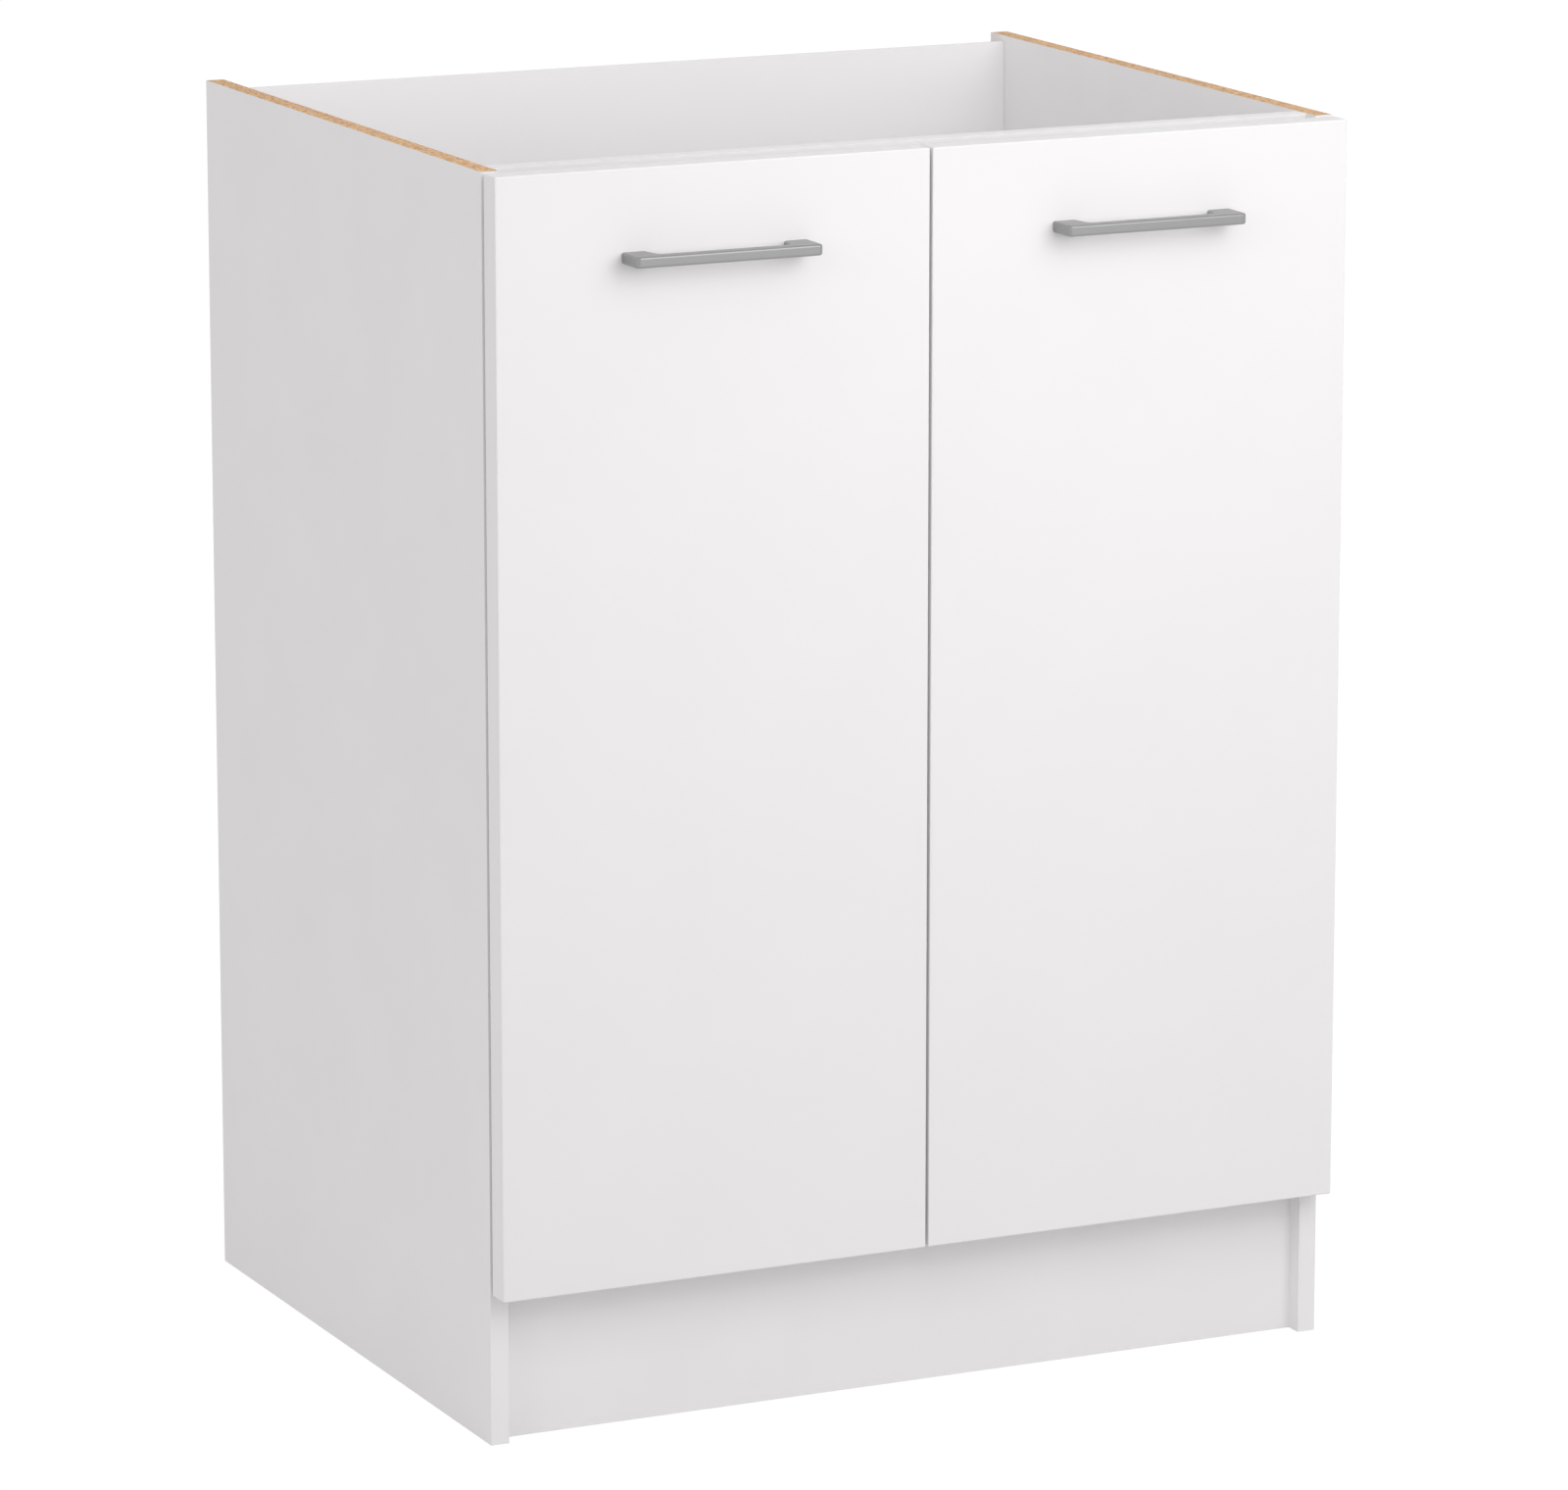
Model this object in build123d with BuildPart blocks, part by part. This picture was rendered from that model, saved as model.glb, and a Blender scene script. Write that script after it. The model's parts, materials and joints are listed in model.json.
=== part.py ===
"""Kitchen base cabinet with two doors, one shelf, an open top and a recessed plinth, in millimetres.

The origin lies on the floor under the middle of the whole outline, handles included. +X points to the
right of someone facing the doors, +Y to the back and +Z up. Pieces that come in pairs are modelled on
the left, and the right-hand ones are their mirror images.
"""
import os

from build123d import *

# Carcass of melamine-faced chipboard
carcass_width = 600.0
carcass_height = 820.0
carcass_depth = 467.0
board = 12.5
edge_round = 0.4              # upright edges of the side panels
front_setback = 12.5          # plinth and front rail behind the side panels' front edges
plinth_height = 100.0
rail_height = 80.0

# Back panel of hardboard, in grooves in the side panels that stop above its top edge
back_thick = 3.0
back_inset = 21.0             # its front face to the side panels' rear edges
back_drop = 4.0               # its top edge below the side panels' tops
groove_depth = 6.0
groove_play = 0.2             # round the edge of the back panel in its groove
back_screw_count = 5
back_screw_inset = 27.5       # outermost screws to the bottom panel's ends
back_screw_radius = 1.5
back_screw_length = 16.0

# Shelf on four pins
shelf_height = 330.0          # its underside above the bottom panel
shelf_setback = 30.0          # its front edge behind the side panels' front edges
shelf_side_play = 1.0
shelf_back_play = 2.0
pin_row_inset = 40.0          # pin rows to the shelf's front and rear edges
pin_row_pitch = 32.0          # between the holes of a row
pin_hole_radius = 2.5
pin_hole_depth = 9.0
pin_lug_reach = 8.0           # the lug of a pin, under the shelf
pin_lug_width = 10.0
pin_lug_height = 4.0
pin_lug_round = 1.5

# Doors of faced board
door_thick = 18.0
door_gap = 2.5                # door backs to the carcass front
door_margin = 0.5             # outer door edges inside the carcass sides
door_meeting_gap = 2.0
door_top_drop = 0.5           # door tops below the carcass top
door_edge_round = 1.0
bumper_radius = 4.5
bumper_play = 0.1
bumper_outer_inset = 60.0     # from the door's outer edge
bumper_meeting_inset = 24.0   # from the edge where the doors meet

# Bow handles of flat bar
handle_length = 128.0
handle_height = 7.2
handle_reach = 23.0           # its front face to the door front
handle_bar_depth = 9.0
handle_foot_width = 16.5
handle_foot_flare = 2.5       # extra width where a foot runs into the bar
handle_drop = 56.0            # door top to the middle of the bar
handle_corner_round = 3.0
handle_inner_round = 3.5
handle_edge_round = 1.5
handle_screw_spacing = 112.0
handle_screw_radius = 2.0
handle_thread_depth = 10.0

# Concealed hinges with one pin inside a round cup, two to a door
hinge_below_rail = 40.0
hinge_above_bottom = 107.5
cup_edge = 3.0                # door edge to the cup's bore
cup_cover = 3.8               # door left in front of the cup's bore
cup_radius = 17.4
cup_wall = 0.8
cup_floor = 0.7
cup_flange_lip = 0.6          # flange beyond the cup
cup_flange_thick = 1.0
cup_wing_width = 15.0
cup_wing_margin = 7.0         # wing beyond the screws
cup_screw_spacing = 48.0
cup_screw_offset = 6.0        # screws further from the door edge than the cup's middle
cup_screw_radius = 1.6
cup_screw_length = 12.0
hinge_pin_radius = 1.4
cheek_thick = 2.0             # walls in the cup that carry the pin
cheek_margin = 2.4            # metal round the pin in a cheek
arm_width = 11.0
arm_thick = 2.0
arm_eye_radius = 2.3
arm_bend_round = 2.5
arm_start = 12.0              # the arm's channel, from the carcass front
arm_end = 64.0
arm_flange_thick = 1.5
arm_front_screw = 26.0        # from the carcass front
arm_rear_screw = 50.0
arm_screw_radius = 2.0
arm_screw_length = 7.0
plate_inset = 37.0            # plate screws to the carcass front
plate_rail_width = 12.0
plate_wing_width = 14.0
plate_wing_margin = 9.0       # wing beyond the screws
plate_wing_thick = 2.5
plate_screw_spacing = 32.0
plate_screw_radius = 2.45
plate_screw_depth = 9.0       # in the side panel

# Carcass fasteners: cam locks, their bolts and wooden dowels
cam_radius = 6.0
cam_depth = 9.5
cam_distance = 24.0           # board end to the cam's middle
bolt_shank_radius = 2.0
bolt_head_radius = 2.8
bolt_head_length = 4.0
bolt_thread_radius = 2.45
bolt_depth = 8.5              # in the side panel
dowel_radius = 3.0
dowel_depth = 8.5             # in the side panel
dowel_length = 30.0
dowel_pitch = 32.0            # from the cam beside it
bottom_cam_inset = 60.0       # from the bottom panel's front and rear edges
rail_cam_drop = 20.0          # below the rail's top
plinth_cam_drop = 30.0        # below the plinth's top

# Fits
bore_play = 0.1               # round cups, cams and shanks in their bores
peg_play = 0.05               # round pegs, dowels and threads in their holes
running_play = 0.05           # round the hinge pins
end_play = 0.5                # past the ends of pegs and screws
slide_play = 0.4              # each side of a mounting plate in the hinge arm
flange_play = 1.5             # the hinge arm's flanges above the plate's wings
eye_play = 0.35               # the arm's eye to the cup's wall and floor
cheek_play = 0.5              # each side of the eye, between the cheeks
neck_play = 1.2               # the open door's hinge flange to the arm

# Screw heads and their cross recesses
small_head_radius = 3.2
small_head_height = 1.4
large_head_radius = 4.0
large_head_height = 2.2
recess_width = 1.0
recess_depth = 0.9
recess_margin = 1.3           # metal round the recess

# Planes and lines that the pieces share
overall_depth = carcass_depth + door_gap + door_thick + handle_reach
y_rear = overall_depth / 2
y_front = y_rear - carcass_depth
y_door_back = y_front - door_gap
y_door_front = y_door_back - door_thick
y_back = y_rear - back_inset
y_rail = y_front + front_setback + board / 2
x_inner = carcass_width / 2 - board
z_bottom = plinth_height + board / 2
z_floor = plinth_height + board
z_door_top = carcass_height - door_top_drop
z_shelf = z_floor + shelf_height
y_shelf_front = y_front + shelf_setback
y_shelf_rear = y_back - shelf_back_play

door_height = z_door_top - plinth_height
door_width = (carcass_width - door_meeting_gap) / 2 - door_margin
x_edge = -carcass_width / 2 + door_margin
x_handle = x_edge + door_width / 2
z_handle = z_door_top - handle_drop
handle_screw_x = [x_handle + side * handle_screw_spacing / 2 for side in (-1, 1)]

hinge_z = {
    "upper": carcass_height - rail_height - hinge_below_rail,
    "lower": z_floor + hinge_above_bottom,
}
cup_bore_radius = cup_radius + bore_play
cup_depth = door_thick - cup_cover - bore_play
cup_inner_radius = cup_radius - cup_wall
cup_wing_length = cup_screw_spacing + 2 * cup_wing_margin
x_cup = x_edge + cup_edge + cup_bore_radius
x_cup_screw = x_cup + cup_screw_offset
cup_half_chord = (cup_inner_radius**2 - (arm_width / 2) ** 2) ** 0.5
x_pin = x_cup - cup_half_chord + eye_play + arm_eye_radius
pin_depth = cup_depth - cup_floor - eye_play - arm_eye_radius
y_pin = y_door_back - pin_depth
cheek_offset = arm_width / 2 + cheek_play + cheek_thick / 2
hinge_pin_length = arm_width + 2 * (cheek_play + cheek_thick)
x_arm = x_pin + pin_depth + cup_flange_thick + neck_play
plate_height = x_arm + x_inner
plate_wing_length = plate_screw_spacing + 2 * plate_wing_margin
channel_width = plate_rail_width + 2 * (slide_play + arm_flange_thick)
channel_depth = plate_height - plate_wing_thick - flange_play
arm_screw_y = [y_front + arm_front_screw, y_front + arm_rear_screw]
bumper_x = [x_edge + bumper_outer_inset, x_edge + door_width - bumper_meeting_inset]

bottom_cam_y = [y_front + bottom_cam_inset, y_back - bottom_cam_inset]
bottom_dowel_y = [bottom_cam_y[0] + dowel_pitch, bottom_cam_y[1] - dowel_pitch]
cross_cam_z = {"front_rail": carcass_height - rail_cam_drop, "plinth": plinth_height - plinth_cam_drop}
cross_base_z = {"front_rail": carcass_height - rail_height, "plinth": 0.0}
cross_height = {"front_rail": rail_height, "plinth": plinth_height}
bottom_cams = [(y, z_bottom) for y in bottom_cam_y]
bottom_dowels = [(y, z_bottom) for y in bottom_dowel_y]
cross_cams = {name: (y_rail, z) for name, z in cross_cam_z.items()}
cross_dowels = {name: (y_rail, z - dowel_pitch) for name, z in cross_cam_z.items()}
all_cams = bottom_cams + list(cross_cams.values())
all_dowels = bottom_dowels + list(cross_dowels.values())

pin_peg_radius = pin_hole_radius - peg_play
z_pin_row = z_shelf - pin_lug_height / 2
shelf_pin_points = [(y, z_pin_row) for y in (y_shelf_front + pin_row_inset, y_shelf_rear - pin_row_inset)]
pin_hole_points = [(y, z + step * pin_row_pitch) for y, z in shelf_pin_points for step in (-1, 0, 1)]
plate_screw_points = [
    (y_front + plate_inset, z + side * plate_screw_spacing / 2) for z in hinge_z.values() for side in (-1, 1)
]
cup_screw_points = [
    (x_cup_screw, z + side * cup_screw_spacing / 2) for z in hinge_z.values() for side in (-1, 1)
]
back_screw_spacing = 2 * (x_inner - back_screw_inset) / (back_screw_count - 1)
back_screw_x = [back_screw_inset - x_inner + i * back_screw_spacing for i in range(back_screw_count)]

CORNER = (Align.MIN, Align.MIN, Align.MIN)
STANDING = (Align.CENTER, Align.CENTER, Align.MIN)
HANGING = (Align.CENTER, Align.CENTER, Align.MAX)


def save(part, name):
    """Labels a finished piece and writes it to its file."""
    part.label = name
    export_step(part, f"parts/{name}.step")


def save_pair(part, name):
    """Writes a left-hand piece and its mirror image."""
    with BuildPart() as twin:
        mirror(part, about=Plane.YZ)
    save(part, f"left_{name}")
    save(twin.part, f"right_{name}")


def facing_back(x, y, z):
    """A seat whose normal points to the back."""
    return Plane(origin=(x, y, z), x_dir=(-1, 0, 0), z_dir=(0, 1, 0))


def facing_right(x, y, z):
    """A seat whose normal points to the right."""
    return Plane(origin=(x, y, z), x_dir=(0, 1, 0), z_dir=(1, 0, 0))


def rods_along_x(radius, start, end, points, mode=Mode.ADD):
    """Round rods, or holes, from one x to another at each (y, z) point."""
    with Locations(*[((start + end) / 2, y, z) for y, z in points]):
        Cylinder(radius, abs(end - start), rotation=(0, 90, 0), mode=mode)


def cross_recess(face, head_radius):
    """A cross-shaped drive cut into a round face."""
    span = 2 * (head_radius - recess_margin)
    with Locations(face):
        Box(span, recess_width, recess_depth, align=HANGING, mode=Mode.SUBTRACT)
        Box(recess_width, span, recess_depth, align=HANGING, mode=Mode.SUBTRACT)


def screw(seat, head_radius, head_height, shank_radius, shank_length):
    """A pan-head screw whose head stands on the seat and whose shank runs below it."""
    with Locations(seat):
        Cylinder(shank_radius, shank_length, align=HANGING)
        Cylinder(head_radius, head_height, align=STANDING)
    cross_recess(seat.offset(head_height), head_radius)


os.makedirs("parts", exist_ok=True)

# Side panels, standing on the floor
with BuildPart() as side_panel:
    with Locations((-carcass_width / 2, y_front, 0)):
        Box(board, carcass_depth, carcass_height, align=CORNER)
    fillet(side_panel.edges().filter_by(Axis.Z), edge_round)
    with Locations((-x_inner, y_back - groove_play, 0)):
        Box(
            groove_depth,
            back_thick + 2 * groove_play,
            carcass_height - back_drop + groove_play,
            align=(Align.MAX, Align.MIN, Align.MIN),
            mode=Mode.SUBTRACT,
        )
    for radius, depth, points in (
        (bolt_thread_radius + peg_play, bolt_depth + end_play, all_cams),
        (dowel_radius + peg_play, dowel_depth + end_play, all_dowels),
        (pin_hole_radius, pin_hole_depth, pin_hole_points),
        (plate_screw_radius + peg_play, plate_screw_depth + end_play, plate_screw_points),
    ):
        rods_along_x(radius, -x_inner - depth, -x_inner, points, mode=Mode.SUBTRACT)
save_pair(side_panel.part, "side_panel")

# Bottom panel, between the sides and on the plinth
with BuildPart() as bottom_panel:
    with Locations((-x_inner, y_front, plinth_height)):
        Box(x_inner, y_back - y_front, board, align=CORNER)
    with Locations(*[(-x_inner + cam_distance, y, plinth_height) for y in bottom_cam_y]):
        Cylinder(cam_radius + bore_play, cam_depth, align=STANDING, mode=Mode.SUBTRACT)
    rods_along_x(
        bolt_head_radius + bore_play, -x_inner, -x_inner + cam_distance, bottom_cams, mode=Mode.SUBTRACT
    )
    rods_along_x(
        dowel_radius + peg_play,
        -x_inner,
        -x_inner + dowel_length - dowel_depth + end_play,
        bottom_dowels,
        mode=Mode.SUBTRACT,
    )
    mirror(about=Plane.YZ)
    with Locations(*[facing_back(x, y_back, z_bottom) for x in back_screw_x]):
        Hole(back_screw_radius + peg_play, depth=back_screw_length - back_thick + end_play)
save(bottom_panel.part, "bottom_panel")

# Front rail and plinth, two upright boards between the sides
for name in ("front_rail", "plinth"):
    with BuildPart() as cross_board:
        with Locations((-x_inner, y_front + front_setback, cross_base_z[name])):
            Box(x_inner, board, cross_height[name], align=CORNER)
        with Locations(facing_back(-x_inner + cam_distance, y_rail + board / 2, cross_cam_z[name])):
            Hole(cam_radius + bore_play, depth=cam_depth)
        rods_along_x(
            bolt_head_radius + bore_play,
            -x_inner,
            -x_inner + cam_distance,
            [cross_cams[name]],
            mode=Mode.SUBTRACT,
        )
        rods_along_x(
            dowel_radius + peg_play,
            -x_inner,
            -x_inner + dowel_length - dowel_depth + end_play,
            [cross_dowels[name]],
            mode=Mode.SUBTRACT,
        )
        mirror(about=Plane.YZ)
    save(cross_board.part, name)

# Back panel, slid up its grooves from below and screwed to the bottom panel's rear edge
with BuildPart() as back_panel:
    with Locations((0, y_back, plinth_height)):
        Box(
            2 * (x_inner + groove_depth - groove_play),
            back_thick,
            carcass_height - back_drop - plinth_height,
            align=(Align.CENTER, Align.MIN, Align.MIN),
        )
    with Locations(*[facing_back(x, y_back + back_thick, z_bottom) for x in back_screw_x]):
        Hole(back_screw_radius + bore_play, depth=back_thick)
save(back_panel.part, "back_panel")

with BuildPart() as back_panel_screws:
    for x in back_screw_x:
        screw(
            facing_back(x, y_back + back_thick, z_bottom),
            small_head_radius,
            small_head_height,
            back_screw_radius,
            back_screw_length,
        )
save(back_panel_screws.part, "back_panel_screws")

# Shelf and the pins that it lies on
with BuildPart() as shelf:
    with Locations((0, y_shelf_front, z_shelf)):
        Box(
            2 * (x_inner - shelf_side_play),
            y_shelf_rear - y_shelf_front,
            board,
            align=(Align.CENTER, Align.MIN, Align.MIN),
        )
save(shelf.part, "shelf")

with BuildPart() as shelf_pins:
    with Locations(*[(-x_inner, y, z_shelf) for y, _ in shelf_pin_points]):
        Box(pin_lug_reach, pin_lug_width, pin_lug_height, align=(Align.MIN, Align.CENTER, Align.MAX))
    fillet(shelf_pins.edges().filter_by(Axis.X).group_by(Axis.Z)[0], pin_lug_round)
    rods_along_x(pin_peg_radius, -x_inner - pin_hole_depth + end_play, -x_inner, shelf_pin_points)
    mirror(about=Plane.YZ)
save(shelf_pins.part, "shelf_pins")

# Cam locks, sunk flush in the bottom panel's underside and in the rear of the rail and the plinth
with BuildPart() as cam_locks:
    under_faces = [
        Plane(origin=(-x_inner + cam_distance, y, plinth_height), z_dir=(0, 0, -1)) for y in bottom_cam_y
    ]
    rear_faces = [
        facing_back(-x_inner + cam_distance, y_rail + board / 2, z) for z in cross_cam_z.values()
    ]
    with Locations(*under_faces, *rear_faces):
        Cylinder(cam_radius, cam_depth - bore_play, align=HANGING)
    for face in under_faces + rear_faces:
        cross_recess(face, cam_radius)
    rods_along_x(
        bolt_head_radius + bore_play,
        -x_inner + cam_distance - cam_radius,
        -x_inner + cam_distance + bolt_head_length / 2 + end_play,
        all_cams,
        mode=Mode.SUBTRACT,
    )
    mirror(about=Plane.YZ)
save(cam_locks.part, "cam_locks")

with BuildPart() as cam_bolts:
    rods_along_x(bolt_thread_radius, -x_inner - bolt_depth, -x_inner, all_cams)
    rods_along_x(bolt_shank_radius, -x_inner, -x_inner + cam_distance, all_cams)
    rods_along_x(
        bolt_head_radius,
        -x_inner + cam_distance - bolt_head_length / 2,
        -x_inner + cam_distance + bolt_head_length / 2,
        all_cams,
    )
    mirror(about=Plane.YZ)
save(cam_bolts.part, "cam_bolts")

with BuildPart() as wooden_dowels:
    rods_along_x(dowel_radius, -x_inner - dowel_depth, -x_inner + dowel_length - dowel_depth, all_dowels)
    mirror(about=Plane.YZ)
save(wooden_dowels.part, "wooden_dowels")

# Doors, bored from the back for the hinge cups and through for the handle screws
with BuildPart() as door:
    with Locations((x_edge, y_door_front, plinth_height)):
        Box(door_width, door_thick, door_height, align=CORNER)
    fillet(door.edges(), door_edge_round)
    with Locations(*[facing_back(x_cup, y_door_back, z) for z in hinge_z.values()]):
        Hole(cup_bore_radius, depth=cup_depth + bore_play)
    with Locations(*[facing_back(x, y_door_back, z) for x, z in cup_screw_points]):
        Hole(cup_screw_radius + peg_play, depth=cup_screw_length - cup_flange_thick + end_play)
    with Locations(*[facing_back(x, y_door_back, z_handle) for x in handle_screw_x]):
        Hole(handle_screw_radius + end_play, depth=door_thick)
save_pair(door.part, "door")

# Bumpers along the foot of each door, which meet the front edge of the bottom panel
with BuildPart() as door_bumpers:
    with Locations(*[facing_back(x, y_door_back, z_bottom) for x in bumper_x]):
        Cylinder(bumper_radius, door_gap - bumper_play, align=STANDING)
save_pair(door_bumpers.part, "door_bumpers")

# Handles, each with two feet bent back to the door
with BuildPart() as handle:
    x_end = x_handle - handle_length / 2
    x_foot = x_end + handle_foot_width
    x_flare = x_foot + handle_foot_flare
    y_bar = y_door_front - handle_reach
    y_bar_back = y_bar + handle_bar_depth
    with BuildSketch(Plane.XY.offset(z_handle - handle_height / 2)) as bow:
        with BuildLine():
            Polyline(
                (x_handle, y_bar),
                (x_end, y_bar),
                (x_end, y_door_front),
                (x_foot, y_door_front),
                (x_flare, y_bar_back),
                (x_handle, y_bar_back),
                close=True,
            )
        make_face()
        fillet(bow.vertices().group_by(Axis.Y)[0].sort_by(Axis.X)[0], handle_corner_round)
        fillet(bow.vertices().filter_by_position(Axis.X, x_flare, x_flare), handle_inner_round)
        mirror(about=Plane.YZ.offset(x_handle))
    extrude(amount=handle_height)
    rims = handle.edges().group_by(Axis.Z)[0] + handle.edges().group_by(Axis.Z)[-1]
    fillet(rims.filter_by(lambda edge: edge.center().Y < y_door_front - handle_edge_round), handle_edge_round)
    with Locations(*[facing_back(x, y_door_front, z_handle) for x in handle_screw_x]):
        Hole(handle_screw_radius + peg_play, depth=handle_thread_depth + end_play)
save_pair(handle.part, "handle")

with BuildPart() as handle_screws:
    for x in handle_screw_x:
        screw(
            facing_back(x, y_door_back, z_handle),
            large_head_radius,
            large_head_height,
            handle_screw_radius,
            door_thick + handle_thread_depth,
        )
save_pair(handle_screws.part, "handle_screws")

# Hinges
for level, z in hinge_z.items():
    # Cup, let into the door, with a flange on the door back and two cheeks for the pin
    with BuildPart() as hinge_cup:
        cup_mouth = facing_back(x_cup, y_door_back, z)
        cup_base = cup_mouth.offset(-cup_depth)
        for side in (-1, 1):
            with Locations((x_pin, y_pin + cheek_margin, z + side * cheek_offset)):
                Box(
                    2 * cheek_margin,
                    cup_depth,
                    cheek_thick,
                    align=(Align.CENTER, Align.MAX, Align.CENTER),
                )
        with BuildSketch(cup_mouth):
            Circle(cup_radius)
        extrude(amount=-cup_depth, mode=Mode.INTERSECT)
        with BuildSketch(cup_mouth):
            Circle(cup_radius)
            Circle(cup_inner_radius, mode=Mode.SUBTRACT)
        extrude(amount=-cup_depth)
        with BuildSketch(cup_base):
            Circle(cup_radius)
        extrude(amount=cup_floor)
        with BuildSketch(cup_mouth):
            Circle(cup_radius + cup_flange_lip)
            with Locations((-cup_screw_offset, 0)):
                SlotOverall(cup_wing_length, cup_wing_width, rotation=90)
            Circle(cup_inner_radius, mode=Mode.SUBTRACT)
        extrude(amount=cup_flange_thick)
        with Locations((x_pin, y_pin, z)):
            Cylinder(hinge_pin_radius + peg_play, hinge_pin_length, mode=Mode.SUBTRACT)
        for side in (-1, 1):
            z_screw = z + side * cup_screw_spacing / 2
            with Locations(facing_back(x_cup_screw, y_door_back + cup_flange_thick, z_screw)):
                Hole(cup_screw_radius + bore_play, depth=cup_flange_thick)
    save_pair(hinge_cup.part, f"{level}_hinge_cup")

    # Arm: an eye on the pin, a neck that turns out of the cup and a channel over the mounting plate
    with BuildPart() as hinge_arm:
        with BuildSketch(Plane.XY.offset(z - arm_width / 2)) as neck:
            with BuildLine():
                Polyline(
                    (x_pin, y_pin - arm_thick / 2),
                    (x_arm + arm_thick, y_pin - arm_thick / 2),
                    (x_arm + arm_thick, y_front + arm_end),
                    (x_arm, y_front + arm_end),
                    (x_arm, y_pin + arm_thick / 2),
                    (x_pin, y_pin + arm_thick / 2),
                    close=True,
                )
            make_face()
            fillet(neck.vertices().group_by(Axis.Y)[0].sort_by(Axis.X)[-1], arm_bend_round)
            with Locations((x_pin, y_pin)):
                Circle(arm_eye_radius)
                Circle(hinge_pin_radius + running_play, mode=Mode.SUBTRACT)
        extrude(amount=arm_width)
        with Locations((x_arm, y_front + arm_start, z)):
            Box(
                arm_thick,
                arm_end - arm_start,
                channel_width,
                align=(Align.MIN, Align.MIN, Align.CENTER),
            )
        for side in (-1, 1):
            with Locations((x_arm, y_front + arm_start, z + side * (channel_width - arm_flange_thick) / 2)):
                Box(
                    channel_depth,
                    arm_end - arm_start,
                    arm_flange_thick,
                    align=(Align.MAX, Align.MIN, Align.CENTER),
                )
        with Locations(*[facing_right(x_arm + arm_thick, y, z) for y in arm_screw_y]):
            Hole(arm_screw_radius + bore_play, depth=arm_thick)
    save_pair(hinge_arm.part, f"{level}_hinge_arm")

    # Mounting plate: two wings screwed to the side panel and a rail under the arm
    with BuildPart() as mounting_plate:
        with BuildSketch(facing_right(-x_inner, 0, z)):
            with Locations((y_front + plate_inset, 0)):
                SlotOverall(plate_wing_length, plate_wing_width, rotation=90)
        extrude(amount=plate_wing_thick)
        with BuildSketch(facing_right(-x_inner, 0, z)):
            with Locations((y_front + (arm_start + arm_end) / 2, 0)):
                Rectangle(arm_end - arm_start, plate_rail_width)
        extrude(amount=plate_height)
        for side in (-1, 1):
            z_screw = z + side * plate_screw_spacing / 2
            with Locations(facing_right(-x_inner + plate_wing_thick, y_front + plate_inset, z_screw)):
                Hole(plate_screw_radius + bore_play, depth=plate_wing_thick)
        with Locations(*[facing_right(x_arm, y, z) for y in arm_screw_y]):
            Hole(arm_screw_radius + peg_play, depth=arm_screw_length - arm_thick + end_play)
    save_pair(mounting_plate.part, f"{level}_mounting_plate")

# Hinge pins and screws, those of both hinges of a door together
with BuildPart() as hinge_pins:
    with Locations(*[(x_pin, y_pin, z) for z in hinge_z.values()]):
        Cylinder(hinge_pin_radius, hinge_pin_length)
save_pair(hinge_pins.part, "hinge_pins")

with BuildPart() as hinge_cup_screws:
    for x, z in cup_screw_points:
        screw(
            facing_back(x, y_door_back + cup_flange_thick, z),
            small_head_radius,
            small_head_height,
            cup_screw_radius,
            cup_screw_length,
        )
save_pair(hinge_cup_screws.part, "hinge_cup_screws")

with BuildPart() as mounting_plate_screws:
    for y, z in plate_screw_points:
        screw(
            facing_right(-x_inner + plate_wing_thick, y, z),
            large_head_radius,
            large_head_height,
            plate_screw_radius,
            plate_wing_thick + plate_screw_depth,
        )
save_pair(mounting_plate_screws.part, "mounting_plate_screws")

with BuildPart() as hinge_arm_screws:
    for y in arm_screw_y:
        for z in hinge_z.values():
            screw(
                facing_right(x_arm + arm_thick, y, z),
                large_head_radius,
                large_head_height,
                arm_screw_radius,
                arm_screw_length,
            )
save_pair(hinge_arm_screws.part, "hinge_arm_screws")
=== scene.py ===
"""Looks of a white kitchen base cabinet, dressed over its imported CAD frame.

The side panels, doors, back panel and handles stay the CAD nodes and get new finishes, which know where a
board is faced, banded or cut. The boards between the sides and the metal fittings are softened copies of
their nodes. Bumpers, screws, cam bolts and dowels are modelled anew in the place of theirs. Lengths in the
classes are in millimetres, but for the studio's, which are in metres as Blender's are.
"""
from __future__ import annotations

import json
import logging
import math
from dataclasses import dataclass, field
from enum import Enum
from typing import Any

import bmesh
import bpy
from mathutils import Matrix, Vector

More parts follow.
